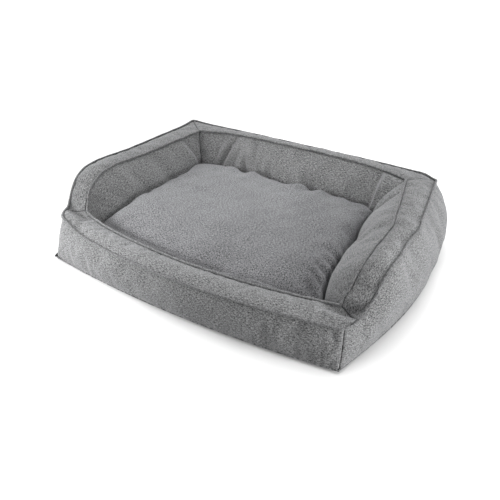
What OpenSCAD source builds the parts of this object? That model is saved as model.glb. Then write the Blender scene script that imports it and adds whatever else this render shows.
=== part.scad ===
// Pet cushion bed: a padded base ringed by stuffed walls, three high and one low at the front,
// with corded seams along both top edges, a loose cushion in the well and a zip low on the back.
// X runs across the bed, +Y towards the back wall, +Z up. The origin is the centre of the base.

/* [Overall] */
// Width across the swollen side walls
bed_w = 900; // [620:1:1200]
// Depth from the swollen front wall to the zip pull at the back
bed_d = 684; // [480:1:900]
// Height of the front wall's corded seams at mid width
front_h = 90; // [60:1:120]
// How far the front corners stand up above the front wall
front_corner_rise = 4; // [0:1:20]
// Height of the side walls' corded seams
side_h = 158; // [125:1:220]
// How far the back wall's outer cord sags below the side walls
back_sag = 8; // [0:1:30]
// How far the back corners stand up above the side walls
corner_peak = 6; // [0:1:25]

/* [Plan] */
// How much narrower the base is at its front corners than at the widest point
front_taper = 62; // [10:1:110]
// How much narrower the base is at its back corners than at the widest point
back_taper = 30; // [5:1:90]
// How far the front wall bows out between its corners at the base
front_bow = 26; // [0:1:50]
// How far the back wall bows out between its corners at the base
back_bow = 34; // [0:1:60]
// How far the outer cord sits inside the base seam along the sides
side_lean = 32; // [5:1:55]
// How far the outer cord sits inside the base seam along the front and back
end_lean = 14; // [0:1:35]
// Width of the top strip along the sides, cord to cord
rim_w = 57; // [35:1:80]
// Width of the top strip along the front, cord to cord
front_rim_w = 62; // [35:1:85]
// How far the side panels' inner foot sits inside the inner cord
foot_in = 62; // [20:1:90]
// How far the front panel's inner foot sits inside the inner cord
front_foot_in = 8; // [0:1:40]
// How far the back panel's inner foot sits inside the inner cord
back_foot_in = 84; // [20:1:110]

/* [Stuffing] */
// Swell of the outer panels of the sides
side_swell = 22; // [0:1:35]
// Swell of the outer panels at the front and back
end_swell = 9; // [0:1:25]
// Swell of the sides' inner panels into the well
inner_swell = 42; // [0:1:55]
// Swell of the back wall's inner panel into the well
back_inner_swell = 30; // [0:1:40]
// Swell of the front wall's inner panel into the well
front_inner_swell = 7; // [0:1:25]
// Swell of the top strips
rim_swell = 7; // [0:1:14]
// Space left between the cover and its filling
fill_gap = 2.5; // [1:0.5:6]

/* [Cover] */
// Thickness of the upholstery fabric
fabric_t = 1.5; // [0.8:0.1:3]
// Diameter of the fabric-covered cord
cord_d = 5.6; // [3:0.1:9]
// Height of the seam that joins the walls to the base
base_seam_h = 9; // [4:1:16]
// Thickness of the base panel
base_t = 2; // [1:0.1:4]

/* [Cushion] */
// Height of the cushion at its crown
cushion_h = 102; // [60:1:130]
// Corner radius of the cushion
cushion_r = 52; // [30:1:100]
// Room between the cushion and the walls
cushion_gap = 5; // [1:0.5:15]

/* [Zip] */
// Length of the zip chain
zip_l = 360; // [200:2:440]
// Width of each half of the zip tape
tape_w = 12; // [8:0.5:18]
// Height of the zip chain across its teeth
chain_h = 5; // [3:0.5:7]
// Pitch of the zip teeth
tooth_pitch = 3; // [2:0.5:5]
// Length of the zip pull from its pin
pull_l = 22; // [12:1:30]
// Width of the zip pull
pull_w = 6.4; // [4:0.2:10]
// Radius of the pin that carries the pull
pin_r = 1; // [0.6:0.1:1.5]

/* [Label] */
// Width of the care label
label_w = 36; // [20:1:60]

/* [Hidden] */

// The four walls, counter-clockwise from above, and the faces of a wall
FRONT = 0;
RIGHT = 1;
BACK = 2;
LEFT = 3;
OUTER = 0;
TOP = 1;
INNER = 2;
// The four seam rings, from the base seam up, over and down into the well
BASE_SEAM = 0;
OUTER_CORD = 1;
INNER_CORD = 2;
FOOT = 3;

SEGMENTS = 18;      // steps along one wall, closer together towards its ends
FACE_STEPS = 5;     // steps across one face of a wall
CORNER_RUN = 3;     // steps of the front's top and filling round each front corner
function share(i, steps) = i / steps - 0.1 * sin(360 * i / steps);
CORD_SIDES = 8;
fill_depth = fabric_t + fill_gap;
slit = 0.003;       // share of a wall's length left open between neighbouring fillings
strip_gap = 0.012;  // share of a strip's width left open at each cord
panel_gap = 0.004;  // share of a panel's height left open at its cord
butt = 0.07;        // share of a side wall whose top belongs to the front strip
ramp_end = 0.27;    // share of a side wall over which it rises to full height

// Zip pieces
zip_gap = 0.35;     // running clearance round the chain
tape_t = 0.8;
tape_lift = 0.2;    // the tapes lie this far off the fabric
chain_t = 2;
plate_t = 1.6;
flange = 1.8;
slider_l = 14;
cheek_t = 1.6;
hub_r = 2;
pull_t = 1.2;
pin_clear = 0.06;
chain_lift = 0.3;   // the chain lies this far off the tapes
hub_clear = 0.35;   // the pull's hub turns this far off the slider
zip_s = 0.22;       // height of the zip seam as a share of the back wall
zip_proud = tape_lift + tape_t + chain_lift + chain_t + zip_gap + plate_t + 2 * hub_r + hub_clear;

// How far a face that leans in by lean and swells by swell reaches past its foot
function reach(lean, swell) = max([for (i = [0 : 20]) swell * sin(9 * i) - lean * i / 20]);

// Base seam: half widths at the front and back corners, corner depths
base_mid = bed_w / 2 - reach(side_lean, side_swell);
base_front = base_mid - front_taper;
base_back = base_mid - back_taper;
front_mid_y = -bed_d / 2 + reach(end_lean, end_swell);
back_mid_y = bed_d / 2 - zip_proud - end_swell * sin(180 * zip_s) + end_lean * zip_s;
corner_in = 12;     // the cord's corners sit this far in from the base seam's

// A ring is [front half width, back half width, front corner y, back corner y, front, side, back bow]
function bow_between(mid, front, back) = mid - (front + back) / 2;
base_ring = [
    base_front, base_back, front_mid_y + front_bow, back_mid_y - back_bow,
    front_bow, bow_between(base_mid, base_front, base_back), back_bow
];
cord_front = base_front - 8;
cord_back = base_back - 36;
cord_front_y = base_ring[2] + end_lean + corner_in;
cord_back_y = base_ring[3] - end_lean;
cord_ring = [
    cord_front, cord_back, cord_front_y, cord_back_y,
    cord_front_y - front_mid_y - end_lean,
    bow_between(base_mid - side_lean, cord_front, cord_back),
    back_mid_y - end_lean - cord_back_y
];
inner_front = cord_front - rim_w * 0.56;
inner_back = cord_back - rim_w * 1.1;
inner_front_y = cord_front_y + front_rim_w * 0.96;
inner_back_y = cord_back_y - rim_w * 0.92;
inner_ring = [
    inner_front, inner_back, inner_front_y, inner_back_y,
    inner_front_y - (front_mid_y + end_lean + front_rim_w),
    bow_between(base_mid - side_lean - rim_w, inner_front, inner_back),
    back_mid_y - end_lean - rim_w * 0.93 - inner_back_y
];
foot_ring = [
    inner_front - foot_in * 0.6, inner_back - foot_in * 0.5,
    inner_front_y + front_foot_in, inner_back_y - foot_in * 0.72,
    inner_ring[4], foot_in * 0.1, inner_ring[6] + foot_in * 0.72 - back_foot_in + back_inner_swell * 0.9
];
RINGS = [base_ring, cord_ring, inner_ring, foot_ring];

// Corner i of ring k, moved in towards the filling by d
function inset_of(k) = k < INNER_CORD ? -1 : 1;
function corner(k, i, d) =
    let (r = RINGS[k], g = inset_of(k) * d)
    i == 0 ? [-r[0] - g, r[2] - g] :
    i == 1 ? [r[0] + g, r[2] - g] :
    i == 2 ? [r[1] + g, r[3] + g] : [-r[1] - g, r[3] + g];

// Outward direction of a wall, and the bow of ring k along it
function outward(side) = side == FRONT ? [0, -1] : side == RIGHT ? [1, 0] : side == BACK ? [0, 1] : [-1, 0];
function bow(k, side) = RINGS[k][side == FRONT ? 4 : side == BACK ? 6 : 5];
function flatness(k, side) = side == BACK && k == BASE_SEAM ? 6 : side == BACK ? 4 : 2;

// Share along a side wall from the front, whichever way the wall is walked
function from_front(side, u) = side == RIGHT ? u : 1 - u;
// The sides' cords bow out most a little in front of their middle
function bow_share(k, side, u) =
    side == FRONT || side == BACK
    ? 1 - pow(abs(2 * u - 1), flatness(k, side))
    : sin(180 * pow(from_front(side, u), k == OUTER_CORD ? 0.75 : k == INNER_CORD ? 0.85 : 1));
function ramp(v, start, end, power) =
    pow(sin(90 * min(1, max(0, (v - start) / (end - start)))), power);

// Height of the cords: front, rising sides with peaked back corners, back
front_corner_h = front_h + front_corner_rise;
function peak(v) = corner_peak * pow(max(0, (v - 0.9) / 0.1), 2);
function side_cord_h(k, v) =
    k == OUTER_CORD
    ? front_corner_h + (side_h - front_corner_h) * ramp(v, butt, ramp_end, 1.5) + peak(v)
    : front_corner_h + (side_h - front_corner_h) * ramp(v, 0, ramp_end - butt, 1.1)
        + (corner_peak * 0.7) * pow(v, 4);
function back_cord_h(k, u) =
    k == OUTER_CORD
    ? side_h - back_sag + (corner_peak + back_sag) * pow(abs(2 * u - 1), 5)
    : side_h + corner_peak * 0.7 + corner_peak * 0.6 * (1 - pow(2 * u - 1, 2));
function ring_z(k, side, u, d) =
    k == BASE_SEAM ? base_seam_h + d :
    k == FOOT ? base_t + max(0, d - fabric_t) :
    -d + (side == FRONT ? front_h + front_corner_rise * pow(abs(2 * u - 1), 4) :
        side == BACK ? back_cord_h(k, u) : side_cord_h(k, from_front(side, u)));

// A point on ring k, at share u along a wall, d inside the cover
function ring_at(k, side, u, d) =
    let (
        a = corner(k, side, d),
        b = corner(k, (side + 1) % 4, d),
        out = bow(k, side) * bow_share(k, side, u),
        p = a * (1 - u) + b * u + outward(side) * out
    )
    [p[0], p[1], ring_z(k, side, u, d)];

// Swell of each face of each wall at share u along it
function taper(u) = 1 - pow(abs(2 * u - 1), 4);
function face_swell(face, side) =
    face == TOP ? rim_swell :
    face == OUTER ? (side == RIGHT || side == LEFT ? side_swell : end_swell) :
    side == FRONT ? -front_inner_swell : side == BACK ? -back_inner_swell : -inner_swell;
function swell_at(face, side, u, s) =
    let (h = face_swell(face, side) * taper(u) * sin(180 * s))
    face == TOP ? [0, 0, h] : [outward(side)[0] * h, outward(side)[1] * h, 0];

// A point on a face: share u along the wall, share s across the face, d inside the cover
function face_at(face, side, u, s, d) =
    ring_at(face, side, u, d) * (1 - s) + ring_at(face + 1, side, u, d) * s + swell_at(face, side, u, s);

// Stations along a wall's top and filling, [outer wall, outer share, inner wall, inner share, share
// of the swell]. The front runs round both front corners, and the sides butt into it.
function stations(side, e) =
    side == FRONT ? concat(
        [for (i = [0 : CORNER_RUN - 1]) let (t = i / CORNER_RUN)
            [LEFT, 1 - (butt - e) * (1 - t), FRONT, e + 0.02 * t, 0.16 * t]],
        [for (i = [0 : SEGMENTS]) let (t = share(i, SEGMENTS))
            [FRONT, t, FRONT, 0.02 + 0.96 * t, taper(0.022 + 0.956 * t)]],
        [for (i = [1 : CORNER_RUN]) let (t = i / CORNER_RUN)
            [RIGHT, (butt - e) * t, FRONT, 0.98 + (0.02 - e) * t, 0.16 * (1 - t)]]
    ) :
    [for (i = [0 : SEGMENTS])
        let (
            t = e + (1 - 2 * e) * share(i, SEGMENTS),
            v = side == RIGHT ? butt + (1 - butt) * t : side == LEFT ? (1 - butt) * t : t
        )
        [side, v, side, t, taper(t)]];

function top_at(st, s, d) =
    ring_at(OUTER_CORD, st[0], st[1], d) * (1 - s) + ring_at(INNER_CORD, st[2], st[3], d) * s
    + [0, 0, rim_swell * st[4] * sin(180 * s)];

// ---- solids from closed loops ----

// Triangles of the walls between neighbouring loops of n points. From point turned on, the quads are
// cut along their other diagonal, so that the two layers of a fabric match.
function wall_faces(n, m, turned = 1e6) = [for (j = [0 : m - 2]) for (i = [0 : n - 1])
    let (a = j * n + i, b = j * n + (i + 1) % n, c = b + n, e = a + n)
    each i < turned ? [[a, b, c], [a, c, e]] : [[a, b, e], [b, c, e]]];

// A closed solid through loops of equal length, with flat caps
module through(loops) {
    n = len(loops[0]);
    m = len(loops);
    first_cap = [for (i = [0 : n - 1]) n - 1 - i];
    last_cap = [for (i = [0 : n - 1]) (m - 1) * n + i];
    polyhedron([for (l = loops) each l], concat([first_cap, last_cap], wall_faces(n, m)), convexity = 8);
}

// The same for loops that run out along one layer and back along the other: the caps are strips
module band_through(loops) {
    n = len(loops[0]);
    m = len(loops);
    e = (m - 1) * n;
    caps = [for (i = [0 : n / 2 - 2]) let (a = i, b = i + 1, c = n - 2 - i, d = n - 1 - i) each [
        [b, a, d], [b, d, c],
        [e + a, e + b, e + d], [e + b, e + c, e + d]
    ]];
    polyhedron([for (l = loops) each l], concat(caps, wall_faces(n, m, n / 2)), convexity = 8);
}

// The same for any loops, with caps that fan out from the middle of the end loops
function middle(loop) = [for (k = [0 : 2]) [for (p = loop) p[k]] * [for (p = loop) 1] / len(loop)];
module fan_through(loops) {
    n = len(loops[0]);
    m = len(loops);
    e = (m - 1) * n;
    points = concat([for (l = loops) each l], [middle(loops[0]), middle(loops[m - 1])]);
    caps = [for (i = [0 : n - 1]) each [
        [(i + 1) % n, i, m * n],
        [e + i, e + (i + 1) % n, m * n + 1]
    ]];
    polyhedron(points, concat(caps, wall_faces(n, m)), convexity = 8);
}

// A closed tube through loops of equal length that come back to the start
module ring_through(loops) {
    n = len(loops[0]);
    m = len(loops);
    polyhedron([for (l = loops) each l],
        [for (f = wall_faces(n, m + 1)) [for (i = f) i % (m * n)]], convexity = 8);
}

// A piece of fabric on a face of a wall, from layer d0 (outside) to layer d1 (inside)
module patch(face, side, u0, u1, s0, s1, d0, d1, steps = SEGMENTS) {
    band_through([for (i = [0 : steps])
        let (u = u0 + (u1 - u0) * share(i, steps))
        concat(
            [for (j = [0 : FACE_STEPS]) face_at(face, side, u, s0 + (s1 - s0) * j / FACE_STEPS, d0)],
            [for (j = [FACE_STEPS : -1 : 0]) face_at(face, side, u, s0 + (s1 - s0) * j / FACE_STEPS, d1)]
        )]);
}

module top_strip(side) {
    function across(j) = strip_gap + (1 - 2 * strip_gap) * j / FACE_STEPS;
    band_through([for (st = stations(side, 0.0005)) concat(
        [for (j = [0 : FACE_STEPS]) top_at(st, across(j), 0)],
        [for (j = [FACE_STEPS : -1 : 0]) top_at(st, across(j), fabric_t)]
    )]);
}

// The filling of one wall, one closed body
module filling(side) {
    fan_through([for (st = stations(side, slit)) concat(
        [for (j = [0 : FACE_STEPS]) face_at(OUTER, st[0], st[1], j / FACE_STEPS, fill_depth)],
        [for (j = [1 : FACE_STEPS - 1]) top_at(st, j / FACE_STEPS, fill_depth)],
        [for (j = [0 : FACE_STEPS]) face_at(INNER, st[2], st[3], j / FACE_STEPS, fill_depth)]
    )]);
}

// A cord along a whole ring, resting on the outside of the seam
cord_off = cord_d / 2 + 0.55;
cord_out = cord_off * 0.6;
cord_up = cord_off * 0.8;
function unit(v) = v / norm(v);
module cord(k) {
    line = [for (side = [0 : 3]) for (i = [0 : SEGMENTS - 1]) ring_at(k, side, share(i, SEGMENTS), 0)];
    m = len(line);
    out = k == OUTER_CORD ? cord_out : -cord_out;
    ring_through([for (i = [0 : m - 1])
        let (
            along = unit(line[(i + 1) % m] - line[(i + m - 1) % m]),
            across = unit(cross(along, [0, 0, 1])),
            up = cross(across, along),
            centre = line[i] + out * across + cord_up * up
        )
        [for (a = [0 : CORD_SIDES - 1])
            centre + cord_d / 2 * (cos(a * 360 / CORD_SIDES) * across + sin(a * 360 / CORD_SIDES) * up)]]);
}

// ---- base ----
function base_loop(d, z) = [for (side = [3 : -1 : 0]) for (i = [SEGMENTS : -1 : 1])
    let (p = ring_at(BASE_SEAM, side, share(i, SEGMENTS), d)) [p[0], p[1], z]];

module base_panel() {
    color("#5d605f")
    through([
        base_loop(16, base_t),
        base_loop(7, base_t + (base_seam_h - base_t) * 0.3),
        base_loop(fabric_t, base_seam_h + fabric_t),
        base_loop(0, base_seam_h),
        base_loop(4.5, base_seam_h * 0.28),
        base_loop(14, 0)
    ]);
}

// ---- outer panels ----
module front_outer_panel() { color("#8d8f8e") patch(OUTER, FRONT, 0, 1, 0, 1 - panel_gap, 0, fabric_t); }
module right_outer_panel() { color("#8a8c8b") patch(OUTER, RIGHT, 0, 1, 0, 1 - panel_gap, 0, fabric_t); }
module left_outer_panel() { color("#8a8c8b") patch(OUTER, LEFT, 0, 1, 0, 1 - panel_gap, 0, fabric_t); }
module back_outer_panel() {
    color("#868887") patch(OUTER, BACK, 0, 1, zip_s + panel_gap, 1 - panel_gap, 0, fabric_t);
}
module back_lower_panel() { color("#7c7e7d") patch(OUTER, BACK, 0, 1, 0, zip_s, 0, fabric_t); }

// ---- top strips ----
module front_top_strip() { color("#949695") top_strip(FRONT); }
module right_top_strip() { color("#919392") top_strip(RIGHT); }
module back_top_strip() { color("#8d8f8e") top_strip(BACK); }
module left_top_strip() { color("#919392") top_strip(LEFT); }

// ---- inner panels ----
module front_inner_panel() { color("#7f8180") patch(INNER, FRONT, 0, 1, panel_gap, 1, 0, fabric_t); }
module right_inner_panel() { color("#828483") patch(INNER, RIGHT, 0, 1, panel_gap, 1, 0, fabric_t); }
module back_inner_panel() { color("#7b7d7c") patch(INNER, BACK, 0, 1, panel_gap, 1, 0, fabric_t); }
module left_inner_panel() { color("#828483") patch(INNER, LEFT, 0, 1, panel_gap, 1, 0, fabric_t); }

// ---- cords ----
module outer_cord() { color("#6f7170") cord(OUTER_CORD); }
module inner_cord() { color("#6f7170") cord(INNER_CORD); }

// ---- wall fillings ----
module front_fill() { color("#f1f0ec") filling(FRONT); }
module right_fill() { color("#f1f0ec") filling(RIGHT); }
module back_fill() { color("#f1f0ec") filling(BACK); }
module left_fill() { color("#f1f0ec") filling(LEFT); }

// ---- zip, low on the back wall ----
function wall_length(side) = norm(corner(BASE_SEAM, side, 0) - corner(BASE_SEAM, (side + 1) % 4, 0));
zip_share = zip_l / wall_length(BACK);
tape_share = tape_w / norm(face_at(OUTER, BACK, 0.5, 1, 0) - face_at(OUTER, BACK, 0.5, 0, 0));
zip_point = face_at(OUTER, BACK, 0.5, zip_s, 0);
zip_z = zip_point[2];
chain_y = zip_point[1] + tape_lift + tape_t + chain_lift;
seam_space = 0.004; // share of the face left between the two tapes

module zip_tape() {
    u0 = 0.5 - zip_share / 2 - 0.012;
    u1 = 0.5 + zip_share / 2 + 0.012;
    under = -tape_lift;
    over = under - tape_t;
    color("#4a4c4c") {
        patch(OUTER, BACK, u0, u1, zip_s + seam_space, zip_s + tape_share, over, under, 8);
        patch(OUTER, BACK, u0, u1, zip_s - tape_share, zip_s - seam_space, over, under, 8);
    }
}

// The two rows of teeth, closed, as one notched bar
module zip_teeth() {
    count = floor(zip_l / tooth_pitch);
    l = count * tooth_pitch;
    notch = 0.35;
    color("#3f4141")
    translate([-l / 2, chain_y, zip_z - chain_h / 2])
    linear_extrude(chain_h)
    polygon(concat(
        [[0, 0]],
        [for (i = [0 : count - 1]) each [
            [i * tooth_pitch, chain_t - notch],
            [i * tooth_pitch + tooth_pitch * 0.2, chain_t],
            [i * tooth_pitch + tooth_pitch * 0.7, chain_t],
            [i * tooth_pitch + tooth_pitch * 0.9, chain_t - notch]
        ]],
        [[l, 0]]
    ));
}

module zip_end_stops() {
    stop_l = 4;
    color("#9a9c9e")
    for (end = [-1, 1])
        translate([end * (zip_l / 2 + 0.4 + stop_l / 2), chain_y + chain_t / 2, zip_z])
        cube([stop_l, chain_t, chain_h + 1.5], center = true);
}

slider_x = zip_l / 2 - slider_l / 2 - 1;
plate_y = chain_y + chain_t + zip_gap;
pin_y = plate_y + plate_t + hub_r + hub_clear;
pin_z = zip_z;
cheek_gap = pull_w + 0.5;

module zip_slider() {
    h = chain_h + 2 * zip_gap + 2 * flange;
    cheek_h = 2 * hub_r;
    color("#9a9c9e")
    difference() {
        union() {
            translate([slider_x - slider_l / 2, chain_y + 0.4, zip_z - h / 2])
                cube([slider_l, plate_y + plate_t - chain_y - 0.4, h]);
            for (side = [-1, 1])
                translate([slider_x + side * (cheek_gap + cheek_t) / 2, 0, 0])
                union() {
                    translate([-cheek_t / 2, plate_y + 0.2, pin_z - cheek_h / 2])
                        cube([cheek_t, pin_y - plate_y - 0.2, cheek_h]);
                    translate([-cheek_t / 2, pin_y, pin_z])
                        rotate([0, 90, 0])
                        cylinder(r = hub_r, h = cheek_t, $fn = 32);
                }
            translate([slider_x - cheek_gap / 2 - cheek_t / 2, pin_y, pin_z])
                rotate([0, 90, 0])
                cylinder(r = pin_r, h = cheek_gap + cheek_t, $fn = 32);
        }
        translate([slider_x - slider_l, chain_y - 1, zip_z - chain_h / 2 - zip_gap])
            cube([2 * slider_l, plate_y - chain_y + 1, chain_h + 2 * zip_gap]);
    }
}

module zip_pull() {
    color("#a4a6a8")
    difference() {
        union() {
            translate([slider_x - pull_w / 2, pin_y, pin_z])
                rotate([0, 90, 0])
                cylinder(r = hub_r, h = pull_w, $fn = 32);
            translate([slider_x, pin_y + pull_t / 2, pin_z])
                rotate([90, 0, 0])
                linear_extrude(pull_t)
                difference() {
                    union() {
                        translate([-pull_w / 2, -pull_l + pull_w / 2])
                            square([pull_w, pull_l - pull_w / 2]);
                        translate([0, -pull_l + pull_w / 2])
                            circle(d = pull_w, $fn = 32);
                    }
                    translate([0, -pull_l + pull_w / 2])
                        circle(d = pull_w * 0.45, $fn = 32);
                }
        }
        translate([slider_x - pull_w, pin_y, pin_z])
            rotate([0, 90, 0])
            cylinder(r = pin_r + pin_clear, h = 2 * pull_w, $fn = 32);
    }
}

// ---- blank care label, sewn into the back seam beside the zip ----
module care_label() {
    share = label_w / wall_length(BACK);
    u0 = 0.5 + zip_share / 2 + 0.05;
    color("#e8e8e4")
    patch(OUTER, BACK, u0, u0 + share, 0.03, zip_s, -1, -0.5, 4);
}

// ---- cushion ----
// The cushion follows the well's walls at their tightest, so that it drops in and lifts out freely
cushion_z = base_t + 0.4;
seam_z = cushion_z + (cushion_h - cushion_z) * 0.46;
WELL_STEPS = 8;
CORNER_STEPS = 5;

// A point of the well's outline, moved d into the well
function well_at(side, u, d) =
    let (
        out = outward(side),
        across = [for (j = [0 : 10]) let (p = face_at(INNER, side, u, j / 10, 0)) [p[0], p[1]]],
        nearest = min([for (p = across) p * out])
    )
    across[10] + out * (nearest - across[10] * out - d);
function curve(a, b, c, t) = a * (1 - t) * (1 - t) + b * 2 * t * (1 - t) + c * t * t;
function rounding(side) = cushion_r / norm(corner(FOOT, side, 0) - corner(FOOT, (side + 1) % 4, 0));
function cushion_corner(side, d) =
    let (next = (side + 1) % 4, a = well_at(side, 1, d), b = well_at(next, 0, d))
    side % 2 == 0 ? [b[0], a[1]] : [a[0], b[1]];

// Outline of the cushion at its seam
cushion_outline = [for (side = [0 : 3])
    let (c = rounding(side), next = (side + 1) % 4)
    each concat(
        [for (i = [0 : WELL_STEPS]) well_at(side, c + (1 - 2 * c) * i / WELL_STEPS, cushion_gap)],
        [for (i = [1 : CORNER_STEPS - 1]) curve(
            well_at(side, 1 - c, cushion_gap), cushion_corner(side, cushion_gap),
            well_at(next, rounding(next), cushion_gap), i / CORNER_STEPS)]
    )];
cushion_hx = max([for (p = cushion_outline) p[0]]);
cushion_front = min([for (p = cushion_outline) p[1]]);
cushion_back = max([for (p = cushion_outline) p[1]]);
cushion_y = (cushion_front + cushion_back) / 2;
cushion_hy = (cushion_back - cushion_front) / 2;

// The outline drawn in by d, at height z
function cushion_loop(d, z, dir) =
    let (
        kx = (cushion_hx - d) / cushion_hx,
        ky = (cushion_hy - d) / cushion_hy,
        loop = [for (p = cushion_outline) [p[0] * kx, cushion_y + (p[1] - cushion_y) * ky, z]]
    )
    dir > 0 ? loop : reversed(loop);

// Crown profile from the seam to the middle as [drawn in by, share of the height]
CROWN = [[0, 0], [2, 0.32], [9, 0.55], [28, 0.76], [64, 0.9], [120, 1]];
BELLY = [[0, 0], [5, 0.5], [18, 0.82], [40, 1]];
seam_half_gap = 0.1;
// Loops of the cushion's upper and lower surface, d inside them: at the seam the layers lie side by side
function crown(d, dir) = [for (c = CROWN)
    cushion_loop(c[0] + d, seam_z + seam_half_gap + (cushion_h - seam_z) * c[1] - d * min(1, 3 * c[1]), dir)];
function belly(d, dir) = [for (c = BELLY)
    cushion_loop(c[0] + d, seam_z - seam_half_gap - (seam_z - cushion_z) * c[1] + d * min(1, 3 * c[1]), dir)];
function reversed(list) = [for (i = [len(list) - 1 : -1 : 0]) list[i]];

module cushion_top_panel() {
    color("#9a9b9e")
    through(concat(reversed(crown(fabric_t, -1)), crown(0, -1)));
}

module cushion_bottom_panel() {
    color("#77797a")
    through(concat(reversed(belly(fabric_t, 1)), belly(0, 1)));
}

module cushion_fill() {
    depth = fabric_t + 1;
    upper = crown(depth, -1);
    color("#f4f3ef")
    through(concat(reversed(belly(depth, -1)), [for (i = [1 : len(upper) - 1]) upper[i]]));
}

base_panel();
front_outer_panel();
right_outer_panel();
back_outer_panel();
back_lower_panel();
left_outer_panel();
front_top_strip();
right_top_strip();
back_top_strip();
left_top_strip();
front_inner_panel();
right_inner_panel();
back_inner_panel();
left_inner_panel();
outer_cord();
inner_cord();
front_fill();
right_fill();
back_fill();
left_fill();
zip_tape();
zip_teeth();
zip_end_stops();
zip_slider();
zip_pull();
care_label();
cushion_top_panel();
cushion_bottom_panel();
cushion_fill();
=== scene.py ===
"""Looks of the pet cushion bed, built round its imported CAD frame.

Lengths in this file are millimetres unless a name says otherwise, and meshes are made in metres.
The walls are one grid of cloth that runs round the bed: rows go from the base seam up over the two
corded seams and down into the well. It is stuffed by a cloth simulation and then cut into panels.
"""

import math

import bmesh
import bpy
import numpy as np
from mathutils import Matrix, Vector
from mathutils.bvhtree import BVHTree


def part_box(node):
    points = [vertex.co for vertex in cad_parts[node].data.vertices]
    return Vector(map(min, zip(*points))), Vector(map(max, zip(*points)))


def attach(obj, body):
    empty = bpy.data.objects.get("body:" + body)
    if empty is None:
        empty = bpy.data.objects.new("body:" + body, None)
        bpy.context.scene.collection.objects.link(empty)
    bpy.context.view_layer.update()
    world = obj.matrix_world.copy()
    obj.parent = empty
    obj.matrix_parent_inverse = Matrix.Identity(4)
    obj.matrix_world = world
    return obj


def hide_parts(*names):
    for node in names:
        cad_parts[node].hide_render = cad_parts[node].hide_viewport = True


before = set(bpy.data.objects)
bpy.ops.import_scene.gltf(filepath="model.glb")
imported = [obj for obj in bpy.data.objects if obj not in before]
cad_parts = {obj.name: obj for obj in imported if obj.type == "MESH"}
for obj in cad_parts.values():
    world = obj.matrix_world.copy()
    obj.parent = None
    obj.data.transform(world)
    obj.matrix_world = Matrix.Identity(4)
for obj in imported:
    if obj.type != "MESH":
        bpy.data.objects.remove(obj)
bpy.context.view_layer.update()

MM = 0.001
FABRIC = 1.5

# ---- camera ----
AZIMUTH, ELEVATION, DISTANCE_M = math.radians(30.75), math.radians(33.7), 1.449
TARGET_M = Vector((0.0075, -0.0163, -0.0121))
back = Vector((
    math.sin(AZIMUTH) * math.cos(ELEVATION),
    -math.cos(AZIMUTH) * math.cos(ELEVATION),
    math.sin(ELEVATION),
))
camera_data = bpy.data.cameras.new("camera")
camera_data.lens, camera_data.sensor_width = 40.32, 36
camera = bpy.data.objects.new("camera", camera_data)
bpy.context.scene.collection.objects.link(camera)
camera.location = TARGET_M + back * DISTANCE_M
camera.rotation_mode = "QUATERNION"
camera.rotation_quaternion = (-back).to_track_quat("-Z", "Y")
bpy.context.scene.camera = camera

# ---- the seam rings, as the CAD makes them ----
FRONT, RIGHT, BACK, LEFT = range(4)
BASE_SEAM, OUTER_CORD, INNER_CORD, FOOT = range(4)
OUTER, INNER = range(2)

FRONT_H, CORNER_RISE, SIDE_H, BACK_SAG, CORNER_PEAK = 90, 4, 158, 8, 6
SIDE_LEAN, END_LEAN, RIM_W, FRONT_RIM_W = 32, 14, 57, 62
FOOT_IN, FRONT_FOOT_IN, BACK_FOOT_IN = 62, 8, 84
CORD_BACK_IN, CORD_FRONT_IN = 36, 8
SIDE_SWELL, END_SWELL, RIM_SWELL = 22, 9, 7
INNER_SWELL, BACK_INNER_SWELL, FRONT_INNER_SWELL = 42, 30, 7
BASE_SEAM_H, BASE_T = 9, 2
BUTT, RAMP_END, ZIP_S = 0.07, 0.27, 0.22
FRONT_BOW, BACK_BOW = 26, 34

# The base seam reaches the edges of the base panel at the middle of each wall. Its corners stand in
# from the widest half width by these two, and its walls bow out between them.
BASE_CORNER_IN, BASE_BACK_CORNER_IN = 62, 30
CORD_FRONT_STEP = 12
base_box = [np.array(c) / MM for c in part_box("base_panel")]
BASE_FRONT_Y, BASE_BACK_Y = base_box[0][1], base_box[1][1]
BASE_MID = base_box[1][0]


class Ring:
    """A seam's plan: half widths and depths of its corners, and how far each wall bows out."""

    def __init__(self, front_half, back_half, front_y, back_y, front_bow, side_bow, back_bow):
        self.front_half, self.back_half = front_half, back_half
        self.front_y, self.back_y = front_y, back_y
        self.front_bow, self.side_bow, self.back_bow = front_bow, side_bow, back_bow


def middle_bow(widest, front_half, back_half):
    """How far a side wall bows beyond the line between its corners, to be as wide as this."""
    return widest - (front_half + back_half) / 2


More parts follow.
